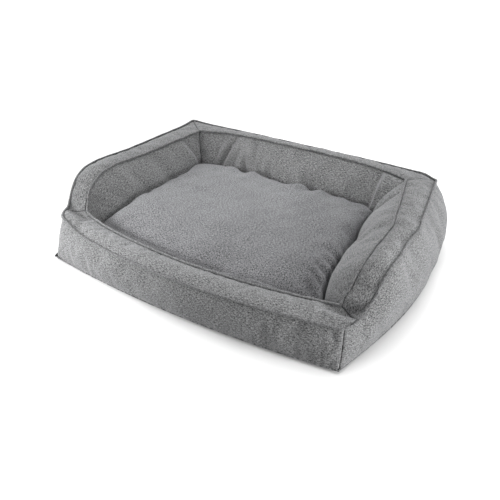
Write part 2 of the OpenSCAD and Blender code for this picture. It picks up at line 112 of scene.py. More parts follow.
def seam_rings():
    """Base seam, outer cord, inner cord and foot."""
    front, back = BASE_MID - BASE_CORNER_IN, BASE_MID - BASE_BACK_CORNER_IN
    front_y, back_y = BASE_FRONT_Y + FRONT_BOW, BASE_BACK_Y - BACK_BOW
    base = Ring(front, back, front_y, back_y, FRONT_BOW, middle_bow(BASE_MID, front, back), BACK_BOW)

    front, back = front - CORD_FRONT_IN, back - CORD_BACK_IN
    front_y, back_y = front_y + END_LEAN + CORD_FRONT_STEP, back_y - END_LEAN
    cord = Ring(
        front, back, front_y, back_y, front_y - BASE_FRONT_Y - END_LEAN,
        middle_bow(BASE_MID - SIDE_LEAN, front, back), BASE_BACK_Y - END_LEAN - back_y,
    )

    front, back = front - RIM_W * 0.56, back - RIM_W * 1.1
    front_y, back_y = front_y + FRONT_RIM_W * 0.96, back_y - RIM_W * 0.92
    inner = Ring(
        front, back, front_y, back_y, front_y - (BASE_FRONT_Y + END_LEAN + FRONT_RIM_W),
        middle_bow(BASE_MID - SIDE_LEAN - RIM_W, front, back),
        BASE_BACK_Y - END_LEAN - RIM_W * 0.93 - back_y,
    )

    foot_bow = inner.back_bow + FOOT_IN * 0.72 - BACK_FOOT_IN + BACK_INNER_SWELL * 0.9
    foot = Ring(
        front - FOOT_IN * 0.6, back - FOOT_IN * 0.5, front_y + FRONT_FOOT_IN, back_y - FOOT_IN * 0.72,
        inner.front_bow, FOOT_IN * 0.1, foot_bow,
    )
    return [base, cord, inner, foot]


RINGS = seam_rings()
OUTWARD = np.array([[0, -1], [1, 0], [0, 1], [-1, 0]], float)


def corner(k, side):
    """Where a wall of ring k starts, counter-clockwise from the front left."""
    ring = RINGS[k]
    half = ring.front_half if side % 4 in (FRONT, RIGHT) else ring.back_half
    y = ring.front_y if side % 4 in (FRONT, RIGHT) else ring.back_y
    return np.array([half if side % 4 in (RIGHT, BACK) else -half, y])


def ramp(v, start, end, power):
    """The side walls' rise from the front wall's height, 0 to 1."""
    return np.sin(np.pi / 2 * np.clip((v - start) / (end - start), 0, 1)) ** power


def ring_at(k, side, u):
    """Points on ring k at shares u along a wall."""
    u = np.asarray(u, float)
    from_front = u if side == RIGHT else 1 - u
    if side in (FRONT, BACK):
        flatness = 2 if side == FRONT else 6 if k == BASE_SEAM else 4
        share = 1 - np.abs(2 * u - 1) ** flatness
        bow = RINGS[k].front_bow if side == FRONT else RINGS[k].back_bow
    else:
        power = {OUTER_CORD: 0.75, INNER_CORD: 0.85}.get(k, 1)
        share = np.sin(np.pi * np.clip(from_front, 0, 1) ** power)
        bow = RINGS[k].side_bow
    xy = corner(k, side) * (1 - u)[:, None] + corner(k, side + 1) * u[:, None]
    xy = xy + OUTWARD[side] * (bow * share)[:, None]
    low = FRONT_H + CORNER_RISE
    if k == BASE_SEAM:
        z = np.full(len(u), BASE_SEAM_H, float)
    elif k == FOOT:
        z = np.full(len(u), BASE_T, float)
    elif side == FRONT:
        z = FRONT_H + CORNER_RISE * np.abs(2 * u - 1) ** 4
    elif side == BACK and k == OUTER_CORD:
        z = SIDE_H - BACK_SAG + (CORNER_PEAK + BACK_SAG) * np.abs(2 * u - 1) ** 5
    elif side == BACK:
        z = SIDE_H + CORNER_PEAK * (0.7 + 0.6 * (1 - (2 * u - 1) ** 2))
    elif k == OUTER_CORD:
        peak = CORNER_PEAK * np.maximum(0, (from_front - 0.9) / 0.1) ** 2
        z = low + (SIDE_H - low) * ramp(from_front, BUTT, RAMP_END, 1.5) + peak
    else:
        z = low + (SIDE_H - low) * ramp(from_front, 0, RAMP_END - BUTT, 1.1)
        z = z + CORNER_PEAK * 0.7 * from_front**4
    return np.column_stack([xy, z])


def taper(u):
    """1 along most of a wall, falling to 0 at its ends."""
    return 1 - np.abs(2 * u - 1) ** 4


def face_swell(face, side):
    """How far a wall's outer or inner face swells out of the plane between its seams."""
    if face == OUTER:
        return SIDE_SWELL if side in (RIGHT, LEFT) else END_SWELL
    return -{FRONT: FRONT_INNER_SWELL, BACK: BACK_INNER_SWELL}.get(side, INNER_SWELL)


# ---- the grid of the walls ----
def spaced(n, ease=0.1):
    """n steps from 0 to 1, closer together at both ends."""
    t = np.arange(n + 1) / n
    return t - ease * np.sin(2 * np.pi * t)


class Columns:
    """Columns of the grid round the bed: on which wall and where along it each of the cords is met."""

    def __init__(self):
        self.outer_side, self.outer_u, self.inner_side, self.inner_u, self.rim = [], [], [], [], []
        self.span = {}

    def add(self, name, outer_side, outer_u, inner_side, inner_u, rim):
        first = len(self.outer_u)
        # the last column of a run is the first of the next
        self.outer_side += [outer_side] * (len(outer_u) - 1)
        self.inner_side += [inner_side] * (len(inner_u) - 1)
        self.outer_u += list(outer_u[:-1])
        self.inner_u += list(inner_u[:-1])
        self.rim += list(rim[:-1])
        self.span[name] = (first, len(self.outer_u))


# the front strip turns both front corners: its last bit of the inner cord lies across from the side
# walls' outer cord, and it is nearly flat there
TURN = 0.02
TURN_RIM = 0.16
columns = Columns()
t = np.arange(9) / 8
columns.add("front_left", LEFT, 1 - BUTT * (1 - t), FRONT, TURN * t, TURN_RIM * t)
t = spaced(124)
columns.add("front", FRONT, t, FRONT, TURN + (1 - 2 * TURN) * t, taper(0.022 + 0.956 * t))
t = np.arange(9) / 8
columns.add("front_right", RIGHT, BUTT * t, FRONT, 1 - TURN + TURN * t, TURN_RIM * (1 - t))
t = spaced(84)
columns.add("right", RIGHT, BUTT + (1 - BUTT) * t, RIGHT, t, taper(t))
t = spaced(116)
columns.add("back", BACK, t, BACK, t, taper(t))
t = spaced(84)
columns.add("left", LEFT, (1 - BUTT) * t, LEFT, t, taper(t))
COLS = len(columns.outer_u)

# a row close to each seam keeps the panels' dip into it narrow
below_zip, above_zip = np.linspace(0, ZIP_S, 6)[1:], np.linspace(ZIP_S, 1, 19)[1:-1]
outer_s = np.concatenate([[0, 0.02], below_zip, above_zip, [0.98, 1]])
top_s = np.concatenate([[0, 0.05], np.linspace(0, 1, 11)[1:-1], [0.95, 1]])
inner_s = np.concatenate([[0, 0.022], np.linspace(0, 1, 21)[1:]])
ROW_ZIP = 1 + len(below_zip)
ROW_CORD = len(outer_s) - 1
ROW_INNER = ROW_CORD + len(top_s) - 1
ROWS = ROW_INNER + len(inner_s)


def rings_at(k, sides, us):
    """Points on ring k, one for each pair of a wall and a share along it."""
    out = np.zeros((len(us), 3))
    for side in range(4):
        mask = np.array(sides) == side
        if mask.any():
            out[mask] = ring_at(k, side, np.array(us)[mask])
    return out


def wall_grid():
    """The walls as the CAD has them: ROWS x COLS points."""
    o_side, o_u = columns.outer_side, columns.outer_u
    i_side, i_u = columns.inner_side, columns.inner_u
    base, cord = rings_at(BASE_SEAM, o_side, o_u), rings_at(OUTER_CORD, o_side, o_u)
    inner, foot = rings_at(INNER_CORD, i_side, i_u), rings_at(FOOT, i_side, i_u)
    o_out, i_out = OUTWARD[o_side], OUTWARD[i_side]
    o_h = np.array([face_swell(OUTER, s) for s in o_side]) * taper(np.array(o_u))
    i_h = np.array([face_swell(INNER, s) for s in i_side]) * taper(np.array(i_u))
    rows = []
    for s in outer_s:
        p = base * (1 - s) + cord * s
        p[:, :2] += o_out * (o_h * math.sin(math.pi * s))[:, None]
        rows.append(p)
    for s in top_s[1:]:
        p = cord * (1 - s) + inner * s
        p[:, 2] += RIM_SWELL * np.array(columns.rim) * math.sin(math.pi * s)
        rows.append(p)
    for s in inner_s[1:]:
        p = inner * (1 - s) + foot * s
        p[:, :2] += i_out * (i_h * math.sin(math.pi * s))[:, None]
        rows.append(p)
    return np.array(rows)


def normals_of(grid):
    """Unit normals of the grid round the bed, out of the cloth."""
    along = np.roll(grid, -1, 1) - np.roll(grid, 1, 1)
    across = np.zeros_like(grid)
    across[1:-1] = grid[2:] - grid[:-2]
    across[0], across[-1] = grid[1] - grid[0], grid[-1] - grid[-2]
    n = np.cross(along, across)
    return n / np.maximum(np.linalg.norm(n, axis=2, keepdims=True), 1e-9)


def wobble(p, wavelength, seed, waves=7):
    """Smooth noise between about -1 and 1 at points p."""
    rng = np.random.RandomState(seed)
    total = np.zeros(p.shape[:-1])
    for _ in range(waves):
        d = rng.normal(size=3)
        d *= 2 * np.pi / (wavelength * rng.uniform(0.7, 1.4)) / np.linalg.norm(d)
        total += np.sin(p @ d + rng.uniform(0, 2 * np.pi))
    return total / math.sqrt(waves)


def near_line(p, line, flat):
    """Distance from p to a polyline, leaving out axis flat, and the nearest point's share along it."""
    line = np.array(line, float)
    keep = np.ones(3)
    keep[flat] = 0
    line, p = line * keep, p * keep
    best = np.full(p.shape[:-1], 1e9)
    where = np.zeros(p.shape[:-1])
    n = len(line) - 1
    for i in range(n):
        a, ab = line[i], line[i + 1] - line[i]
        s = np.clip(((p - a) @ ab) / (ab @ ab), 0, 1)
        d = np.linalg.norm(p - (a + s[..., None] * ab), axis=-1)
        closer = d < best
        best[closer] = d[closer]
        where[closer] = ((i + s) / n)[closer]
    return best, where


def fold(p, n, line, depth, width, flat, shoulder=0.45):
    """Presses a crease into the cloth along a line, with soft shoulders beside it."""
    d, s = near_line(p, line, flat)
    fade = np.sin(np.pi * (0.08 + 0.84 * s)) ** 0.7
    groove = -np.exp(-((d / width) ** 2))
    groove = groove + shoulder * np.exp(-(((d - 2.1 * width) / (1.1 * width)) ** 2))
    return p + n * (depth * fade * groove)[..., None]


def cloth(name, points, faces, pin, pressure, shrink, cap, frames=20):
    """Stuffs a sheet by cloth simulation: pinned points stay, and no point moves further than cap."""
    mesh = bpy.data.meshes.new(name)
    mesh.from_pydata((points * MM).tolist(), [], faces)
    obj = bpy.data.objects.new(name, mesh)
    scene = bpy.context.scene
    scene.collection.objects.link(obj)
    group = obj.vertex_groups.new(name="pin")
    for i in np.nonzero(pin > 0.01)[0]:
        group.add([int(i)], float(pin[i]), "REPLACE")
    mod = obj.modifiers.new("Cloth", "CLOTH")
    settings = mod.settings
    settings.quality = 6
    settings.mass = 0.25
    settings.tension_stiffness = settings.compression_stiffness = 18
    settings.shear_stiffness = 9
    settings.bending_stiffness = 4
    settings.air_damping = 2
    settings.tension_damping = settings.compression_damping = 8
    settings.use_pressure = True
    settings.uniform_pressure_force = pressure
    settings.shrink_min = shrink
    settings.vertex_group_mass = "pin"
    settings.effector_weights.gravity = 0
    mod.collision_settings.use_collision = False
    mod.collision_settings.use_self_collision = False
    mod.point_cache.frame_start, mod.point_cache.frame_end = 1, frames
    for frame_number in range(1, frames + 1):
        scene.frame_set(frame_number)
    shown = obj.evaluated_get(bpy.context.evaluated_depsgraph_get())
    flat = np.empty(len(points) * 3)
    shown.data.vertices.foreach_get("co", flat)
    moved = flat.reshape(-1, 3) / MM - points
    bpy.data.objects.remove(obj)
    bpy.data.meshes.remove(mesh)
    scene.frame_set(1)
    size = np.linalg.norm(moved, axis=1, keepdims=True)
    return points + moved * np.where(size > 0, cap * np.tanh(size / cap) / np.maximum(size, 1e-9), 0)


def smoothstep(x, start, end):
    t = np.clip((x - start) / (end - start), 0, 1)
    return t * t * (3 - 2 * t)


# ---- the walls' unevenness ----
grid = wall_grid()

# The bed isn't quite even. Each bulge is a centre, a reach and a shift, and lies on a seam or on
# two, so that the cloth on both sides of the seam follows it.
BULGES = [
    # the back left corner stands up, the back right one droops to a point
    ((-377, 286, 164), 40, (2, 0, 2)),
    ((377, 286, 164), 26, (1, -5, -8)),
    # the front wall is lower at the right and in the middle, and its left corner stands up
    ((373, -282, 92), 90, (0, 0, -6)),
    ((-376, -286, 93), 62, (5, 6, 13)),
    ((0, -326, 90), 200, (0, 0, -2)),
    # the left wall rises sooner and higher than the right one
    ((-400, -192, 130), 46, (0, 0, 15)),
    ((-408, -115, 158), 90, (0, 0, 10)),
    ((-345, -192, 128), 34, (0, 0, 12)),
    ((-345, -95, 158), 95, (0, 0, 7)),
    # the right cords wander
    ((407, 22, 158), 24, (4, 0, 1)),
    ((409, -50, 158), 26, (-5, 0, -1)),
    ((355, 4, 158), 24, (4, 0, 0)),
    ((356, -90, 158), 26, (-3, 0, 0)),
]
for centre, reach, shift in BULGES:
    d = np.linalg.norm(grid - np.array(centre, float), axis=2)
    grid = grid + np.exp(-((d / reach) ** 2))[..., None] * np.array(shift, float)


# The right wall is stuffed fuller than the left one. Its back end bulges in front of the back
# panel, with a deep crease between them.
RIGHT_FULLER, LEFT_SLACKER = 13, 15
RIGHT_END_SWELL = 38
END_BULGE = 34
CREASE_X, CREASE_W = 256, 14
CREASE_PULL, PULL_END_X = 30, 312
REAR_SWELL = 11
right_first, right_last = columns.span["right"]
left_first, left_last = columns.span["left"]
back_first, back_last = columns.span["back"]


def fill_inner_faces():
    """Inside the well: the right wall's fuller swell and end bulge, the left wall's flatter face."""
    across = np.sin(np.pi * inner_s**0.82)[:, None]
    blunt = across**0.45
    v = np.array(columns.inner_u)[right_first:right_last]
    full = np.minimum(taper(v) * RIGHT_FULLER, RIGHT_FULLER)
    short = np.maximum(0, RIGHT_END_SWELL - (INNER_SWELL * taper(v) + full))
    grid[ROW_INNER:, right_first:right_last, 0] -= across * (full + short * smoothstep(v, 0.72, 0.86))
    grid[ROW_INNER:, right_first:right_last, 1] -= blunt * (END_BULGE * smoothstep(v, 0.84, 1.0))
    v = np.array(columns.inner_u)[left_first:left_last]
    grid[ROW_INNER:, left_first:left_last, 0] -= across * LEFT_SLACKER * taper(v)
    x = grid[ROW_INNER, back_first:back_last, 0].copy()
    bulge = smoothstep(x, CREASE_X - CREASE_W / 2, CREASE_X + CREASE_W / 2)
    pull = CREASE_PULL * smoothstep(x, CREASE_X - 4, PULL_END_X) * bulge
    grid[ROW_INNER:, back_first:back_last, 1] -= blunt * END_BULGE * bulge
    grid[ROW_INNER:, back_first:back_last, 0] -= across * pull


def fill_rear_corners():
    """Outside, the side walls stay full close to their back corners, and the back wall meets them."""
    up = np.sin(np.pi * outer_s)[:, None]
    for first, last, sign in ((right_first, right_last, 1), (left_first, left_last, -1)):
        u = np.array(columns.outer_u)[first:last]
        rear = u if sign > 0 else 1 - u
        grid[:ROW_CORD + 1, first:last, 0] += sign * up * REAR_SWELL * smoothstep(rear, 0.7, 0.92)
    u = np.array(columns.outer_u)[back_first:back_last]
    edge = np.exp(-((np.minimum(u, 1 - u) / 0.03) ** 2)) * np.where(u < 0.5, 1, -1)
    grid[:ROW_CORD + 1, back_first:back_last, 0] += up * REAR_SWELL * edge


fill_inner_faces()
fill_rear_corners()


def round_corner(grid, column, reach, passes):
    """Rounds a sewn corner in plan, from the base seam up to the inner cord."""
    cols = np.arange(column - reach, column + reach + 1) % COLS
    keep = np.clip(1 - np.abs(np.arange(-reach, reach + 1)) / reach, 0, 1)[None, :, None]
    block = grid[:ROW_INNER + 1, cols]
    for _ in range(passes):
        smooth = block.copy()
        smooth[:, 1:-1] = (block[:, :-2] + block[:, 2:]) / 2
        block = block * (1 - keep) + smooth * keep
    grid[:ROW_INNER + 1, cols] = block


# roundest at the front left
round_corner(grid, columns.span["front"][0], 9, 22)
round_corner(grid, columns.span["front"][1], 4, 4)
round_corner(grid, columns.span["back"][0], 3, 2)
round_corner(grid, columns.span["left"][0], 4, 4)

# Creases: a line on the cloth, with its depth and width
BACK_FOLDS = [
    ([(-228, 205, 62), (-214, 218, 110), (-196, 235, 160)], 11, 6.5),
    ([(-250, 205, 62), (-244, 218, 105), (-238, 228, 135)], 3, 6),
    ([(-186, 205, 62), (-180, 218, 100), (-170, 228, 140)], 6, 6.5),
    ([(-132, 205, 60), (-140, 215, 85), (-152, 222, 116)], 12, 7),
    ([(-112, 218, 92), (-122, 228, 130), (-134, 235, 158)], 9, 7),
    ([(-56, 205, 66), (-62, 212, 90), (-68, 218, 120)], 10, 7),
    ([(16, 205, 66), (0, 208, 84), (-16, 212, 106)], 5.5, 7),
    ([(72, 205, 70), (54, 212, 94), (36, 218, 120)], 9, 8),
    ([(-88, 212, 80), (-98, 222, 124)], 5, 7),
    ([(128, 205, 68), (110, 214, 104)], 5, 8),
    ([(184, 205, 68), (176, 214, 108)], 4.5, 9),
]
SIDE_FOLDS = [
    ([(-300, 165, 159), (-298, 180, 110), (-300, 190, 60)], 5, 9),
    ([(-330, -190, 120), (-318, -170, 100)], 3, 8),
    ([(-326, -150, 128), (-312, -128, 104)], 2.5, 8),
    ([(-321, -235, 88), (-325, -222, 70)], 3, 6),
]
RIM_FOLDS = [
    # dips in the side strips behind the front's butt seams
    ([(-388, -232, 104), (-352, -240, 104), (-318, -243, 102)], 7, 10),
    ([(388, -232, 104), (352, -240, 104), (318, -243, 102)], 10, 11),
    ([(-392, -195, 140), (-365, -188, 142), (-338, -186, 140)], 2.5, 9),
]


def press(folds, rows, cols, flat):
    """Presses creases into one block of the walls."""
    n = normals_of(grid)
    for line, depth, width in folds:
        grid[rows, cols] = fold(grid, n, line, depth, width, flat)[rows, cols]


inner_rows = slice(ROW_INNER + 1, None)
press(BACK_FOLDS, inner_rows, slice(back_first, back_last), 1)
press(SIDE_FOLDS, inner_rows, slice(left_first, left_last), 0)
press(RIM_FOLDS, slice(ROW_CORD + 1, ROW_INNER), slice(None), 2)

# Soft unevenness of the filling, none at the seams and little on the front strip's turned ends
SEAM_REACH = 8
TURN_LOOSE = 0.2
row_bump = np.zeros(ROWS)
row_bump[:ROW_CORD + 1] = np.sin(np.pi * outer_s) ** 0.7
row_bump[ROW_CORD:ROW_INNER + 1] = 0.5 * np.sin(np.pi * top_s) ** 0.7
row_bump[ROW_INNER:] = np.sin(np.pi * inner_s) ** 0.7
col_bump = np.full(COLS, TURN_LOOSE)
for name in ("front", "right", "back", "left"):
    first, last = columns.span[name]
    k = np.arange(first, last)
    col_bump[k] = np.minimum(1, np.minimum(k - first, last - k) / SEAM_REACH)
loose = row_bump[:, None] * col_bump[None, :]
# the cloth lies flat round the zip's tapes
zip_low, zip_high = [np.array(c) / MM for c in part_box("zip_tape")]
in_zip = (grid[..., 1] > zip_low[1] - 12) & (np.abs(grid[..., 0]) < zip_high[0] + 60)
in_zip &= np.abs(grid[..., 2] - (zip_low[2] + zip_high[2]) / 2) < 26
free = loose * np.where(in_zip, 0, 1)
lumps = 1.6 * wobble(grid, 150, 11) + 0.9 * wobble(grid, 62, 12) + 0.35 * wobble(grid, 27, 13)
grid = grid + normals_of(grid) * (free * lumps)[..., None]


def band_faces(rows):
    """Faces of a grid of so many rows that closes on itself round the bed."""
    return [
        [r * COLS + c, r * COLS + (c + 1) % COLS, (r + 1) * COLS + (c + 1) % COLS, (r + 1) * COLS + c]
        for r in range(rows - 1) for c in range(COLS)
    ]


def stuffed_walls():
    """The seams hold, and the cloth between them swells and puckers."""
    pin = np.clip(1 - free * 2.2, 0, 1) ** 2
    pin[[0, ROW_CORD, ROW_INNER, ROWS - 1]] = 1
    pin[in_zip] = 1
    points = cloth(
        "walls", grid.reshape(-1, 3), band_faces(ROWS), pin.ravel(), pressure=2.0, shrink=-0.02, cap=4)
    return points.reshape(ROWS, COLS, 3)


def seam_dips():
    """How far the panels dip into their seams, along the cords and at the corners."""
    front_first, front_last = columns.span["front"]
    dip = np.zeros((ROWS, COLS))
    outer, rim, inner = slice(0, ROW_CORD), slice(ROW_CORD, ROW_INNER), slice(ROW_INNER, None)
    for row, depth in {0: 1.0, ROW_CORD: 2.2, ROW_INNER: 2.2}.items():
        dip[row] = np.maximum(dip[row], depth)
    corner_seams = [
        (outer, 2.0, (front_first, front_last, back_first, back_last)),
        (inner, 2.0, (back_last, 0, right_first)),
        (rim, 1.6, (back_first, back_last, 0, right_first)),
    ]
    for rows, depth, cols in corner_seams:
        for col in cols:
            dip[rows, col] = np.maximum(dip[rows, col], depth)
    return dip


grid = stuffed_walls()
n = normals_of(grid)
seam_line = grid[[ROW_CORD, ROW_INNER]].copy()
seam_normal = n[[ROW_CORD, ROW_INNER]].copy()
grid = grid - n * seam_dips()[..., None]


# ---- making pieces ----
def arc(p):
    """Length along a line of points, from its start to each of them."""
    return np.concatenate([[0], np.cumsum(np.linalg.norm(np.diff(p, axis=0), axis=1))])


def open_faces(rows, cols):
    """Faces of a grid of points with four free edges."""
    return [
        [r * cols + c, r * cols + c + 1, (r + 1) * cols + c + 1, (r + 1) * cols + c]
        for r in range(rows - 1) for c in range(cols - 1)
    ]


def set_uv(mesh, uv):
    """Gives each corner of a face its point's place in the weave, in metres."""
    layer = mesh.uv_layers.new(name="weave")
    index = np.empty(len(mesh.loops), int)
    mesh.loops.foreach_get("vertex_index", index)
    layer.data.foreach_set("uv", uv[index].ravel())


def woven_mesh(name, points, faces, uv):
    mesh = bpy.data.meshes.new(name)
    mesh.from_pydata((points.reshape(-1, 3) * MM).tolist(), [], faces)
    set_uv(mesh, uv.reshape(-1, 2))
    return mesh


def add_piece(name, mesh, material, replaces, body="bed", fill=None):
    """Links a piece in. One with a fill is a sheet, made as thick as the fabric and smoothed."""
    mesh.polygons.foreach_set("use_smooth", [True] * len(mesh.polygons))
    mesh.materials.append(material)
    obj = bpy.data.objects.new(name, mesh)
    bpy.context.scene.collection.objects.link(obj)
    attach(obj, body)
    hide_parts(*replaces)
    if fill is None:
        return
    thickness = obj.modifiers.new("thickness", "SOLIDIFY")
    thickness.thickness, thickness.offset = FABRIC * MM, -1
    thickness.use_rim = True
    smooth = obj.modifiers.new("smooth", "SUBSURF")
    smooth.levels = smooth.render_levels = 1
    smooth.boundary_smooth = "PRESERVE_CORNERS"


# ---- materials ----
def new_material(name):
    material = bpy.data.materials.new(name)
    material.use_nodes = True
    nodes, links = material.node_tree.nodes, material.node_tree.links
    nodes.clear()
    out = nodes.new("ShaderNodeOutputMaterial")
    shader = nodes.new("ShaderNodeBsdfPrincipled")
    links.new(shader.outputs["BSDF"], out.inputs["Surface"])
    return material, nodes, links, shader


def set_inputs(node, values):
    for name, value in values.items():
        node.inputs[name].default_value = value


def math_node(nodes, links, kind, a, b):
    """One step of arithmetic on two sockets or numbers."""
    node = nodes.new("ShaderNodeMath")
    node.operation = kind
    for i, value in enumerate((a, b)):
        if isinstance(value, (int, float)):
            node.inputs[i].default_value = value
        else:
            links.new(value, node.inputs[i])
    return node.outputs[0]


def colour_by(nodes, links, shader, value, dark, light, light_at=1.0):
    """Colours a shader from dark, where the value is 0, to light."""
    colours = nodes.new("ShaderNodeValToRGB")
    low, high = colours.color_ramp.elements
    low.color, high.color = (*dark, 1), (*light, 1)
    high.position = light_at
    links.new(value, colours.inputs["Fac"])
    links.new(colours.outputs["Color"], shader.inputs["Base Color"])


def bump_by(nodes, links, shader, height, strength, distance_m):
    bump = nodes.new("ShaderNodeBump")
    set_inputs(bump, {"Strength": strength, "Distance": distance_m})
    links.new(height, bump.inputs["Height"])
    links.new(bump.outputs["Normal"], shader.inputs["Normal"])


def grain_noise(nodes, links, scale, detail):
    """Fine noise in the object's own coordinates, which are handed back with it."""
    coords = nodes.new("ShaderNodeTexCoord")
    grain = nodes.new("ShaderNodeTexNoise")
    set_inputs(grain, {"Scale": scale, "Detail": detail})
    links.new(coords.outputs["Object"], grain.inputs["Vector"])
    return grain.outputs["Fac"], coords.outputs["Object"]


YARN_MM = 1.5


def tweed(name, dark, light, contrast=1.0, streak=1.0):
    """Heathered plain weave: slubbed yarns both ways, flecks of lighter fibre, slow drifts of tone."""
    material, nodes, links, shader = new_material(name)
    uv = nodes.new("ShaderNodeUVMap")
    uv.uv_map = "weave"
    split = nodes.new("ShaderNodeSeparateXYZ")
    links.new(uv.outputs["UV"], split.inputs["Vector"])

    def plus(a, b):
        return math_node(nodes, links, "ADD", a, b)

    def times(a, b):
        return math_node(nodes, links, "MULTIPLY", a, b)

    def noise(scale_u, scale_v, detail, seed, roughness=0.55):
        mapping = nodes.new("ShaderNodeMapping")
        set_inputs(mapping, {"Scale": (scale_u, scale_v, 1), "Location": (seed * 7.3, seed * 3.1, seed)})
        links.new(uv.outputs["UV"], mapping.inputs["Vector"])
        node = nodes.new("ShaderNodeTexNoise")
        set_inputs(node, {"Scale": 1, "Detail": detail, "Roughness": roughness})
        links.new(mapping.outputs["Vector"], node.inputs["Vector"])
        return node.outputs["Fac"]

    def yarns(direction):
        turn = times(split.outputs[direction], 2 * math.pi / (YARN_MM * MM))
        return math_node(nodes, links, "SINE", turn, 0.0)

    weft = noise(170 * streak, 600, 3, 1)
    warp = noise(570, 240, 2, 2)
    fleck = noise(520, 520, 4, 3, 0.7)
    drift = noise(9, 9, 2, 4)
    blotch = noise(42, 60, 3, 5)
    total = plus(times(weft, 1.4), warp)
    for part, weight in ((fleck, 0.8), (blotch, 0.12), (drift, 0.14)):
        total = plus(total, times(part, weight))
    # the five noises' means add up to half their weights
    tone = times(math_node(nodes, links, "SUBTRACT", total, 1.73), 2.3 * contrast)
    weave = times(yarns(0), yarns(1))
    tone = plus(plus(tone, times(weave, 0.1)), 0.5)
    colour_by(nodes, links, shader, tone, dark, light)
    height = plus(times(tone, 0.12), times(weave, 0.35))
    bump_by(nodes, links, shader, height, 0.55, 0.0007)
    set_inputs(shader, {
        "Roughness": 0.92, "Specular IOR Level": 0.2,
        "Sheen Weight": 0.2, "Sheen Roughness": 0.45, "Sheen Tint": (0.8, 0.82, 0.85, 1),
    })
    return material


def metal(name, colour, rough):
    """Plated metal with a fine grain."""
    material, nodes, links, shader = new_material(name)
    grain, _ = grain_noise(nodes, links, 900, 4)
    colour_by(nodes, links, shader, grain, [c * 0.8 for c in colour], colour)
    bump_by(nodes, links, shader, grain, 0.25, 0.0001)
    set_inputs(shader, {"Metallic": 1, "Roughness": rough})
    return material


def ribbed(name, dark, light, pitch_mm, rough):
    """Tape, teeth and label: fine ribs in the object's own coordinates."""
    material, nodes, links, shader = new_material(name)
    grain, place = grain_noise(nodes, links, 700, 3)
    ribs = nodes.new("ShaderNodeTexWave")
    ribs.bands_direction = "X"
    # a wave texture of scale 1 has a band every 1 / 3.2 of a unit
    set_inputs(ribs, {"Scale": 1 / (pitch_mm * MM) / 3.2, "Distortion": 0.6})
    links.new(place, ribs.inputs["Vector"])
    both = math_node(nodes, links, "MULTIPLY", ribs.outputs["Fac"], grain)
    colour_by(nodes, links, shader, both, dark, light, 0.7)
    bump_by(nodes, links, shader, both, 0.4, 0.0003)
    set_inputs(shader, {"Roughness": rough})
    return material


WALL = tweed("wall_tweed", (0.016, 0.0162, 0.0165), (0.166, 0.1665, 0.168), contrast=0.9)
PILLOW = tweed("cushion_tweed", (0.018, 0.018, 0.019), (0.138, 0.138, 0.143), contrast=1.5, streak=1.3)
CORD = tweed("cord_tweed", (0.02, 0.0202, 0.0205), (0.14, 0.1405, 0.142))
UNDER = tweed("base_tweed", (0.015, 0.0152, 0.0155), (0.15, 0.1505, 0.152), contrast=1.4)
TAPE = ribbed("zip_tape_weave", (0.05, 0.052, 0.053), (0.12, 0.122, 0.125), 0.8, 0.85)
TEETH = ribbed("zip_teeth_nylon", (0.05, 0.05, 0.052), (0.1, 0.1, 0.102), 3.0, 0.45)
METAL = metal("zip_nickel", (0.62, 0.63, 0.65), 0.32)
LABEL = ribbed("label_satin", (0.3, 0.3, 0.29), (0.5, 0.5, 0.48), 0.5, 0.5)


# ---- wall panels ----
def cols_of(first_run, last_run):
    """Columns from one run to another, both edges included."""
    first, last = columns.span[first_run][0], columns.span[last_run][1]
    if last < first:
        last += COLS
    return [c % COLS for c in range(first, last + 1)]


def wall_panel(name, rows, cols, replaces, uv_at):
    """One sewn panel, cut out of the grid, with its weave running on from uv_at."""
    p = grid[rows[0]:rows[1] + 1][:, cols]
    down, along = p.shape[:2]
    u = arc(p[down // 2]) * MM + uv_at[0]
    v = np.stack([arc(p[:, c]) for c in range(along)], 1) * MM + uv_at[1]
    uv = np.stack([np.broadcast_to(u, (down, along)), v], -1)
    mesh = woven_mesh(name, p, open_faces(down, along), uv)
    add_piece(name, mesh, WALL, replaces, fill=0.6)


OUTER_ROWS, RIM_ROWS, INNER_ROWS = (0, ROW_CORD), (ROW_CORD, ROW_INNER), (ROW_INNER, ROWS - 1)
front_cols, back_cols = cols_of("front", "front"), cols_of("back", "back")
right_cols, left_cols = cols_of("right", "right"), cols_of("left", "left")
turned_cols = cols_of("front_left", "front_right")
wall_panel("front_outer", OUTER_ROWS, front_cols, ["front_outer_panel"], (0, 0))
wall_panel("right_outer", OUTER_ROWS, cols_of("front_right", "right"), ["right_outer_panel"], (1, 0))
wall_panel("back_outer", (ROW_ZIP, ROW_CORD), back_cols, ["back_outer_panel"], (2, 0.1))
wall_panel("back_lower", (0, ROW_ZIP), back_cols, ["back_lower_panel"], (2, 0))
wall_panel("left_outer", OUTER_ROWS, cols_of("left", "front_left"), ["left_outer_panel"], (3, 0))
wall_panel("front_top", RIM_ROWS, turned_cols, ["front_top_strip", "front_fill"], (0, 1))
wall_panel("right_top", RIM_ROWS, right_cols, ["right_top_strip", "right_fill"], (1, 1))
wall_panel("back_top", RIM_ROWS, back_cols, ["back_top_strip", "back_fill"], (2, 1))
wall_panel("left_top", RIM_ROWS, left_cols, ["left_top_strip", "left_fill"], (3, 1))
wall_panel("front_inner", INNER_ROWS, turned_cols, ["front_inner_panel"], (0, 2))
wall_panel("right_inner", INNER_ROWS, right_cols, ["right_inner_panel"], (1, 2))
wall_panel("back_inner", INNER_ROWS, back_cols, ["back_inner_panel"], (2, 2))
wall_panel("left_inner", INNER_ROWS, left_cols, ["left_inner_panel"], (3, 2))

# ---- cords ----
CORD_R, CORD_KEEL, CORD_UP = 2.7, 2.1, 0.7
CORD_SEGMENTS = 12


def smoothed(loop, passes):
    for _ in range(passes):
        loop = 0.5 * loop + 0.25 * (np.roll(loop, 1, 0) + np.roll(loop, -1, 0))
    return loop


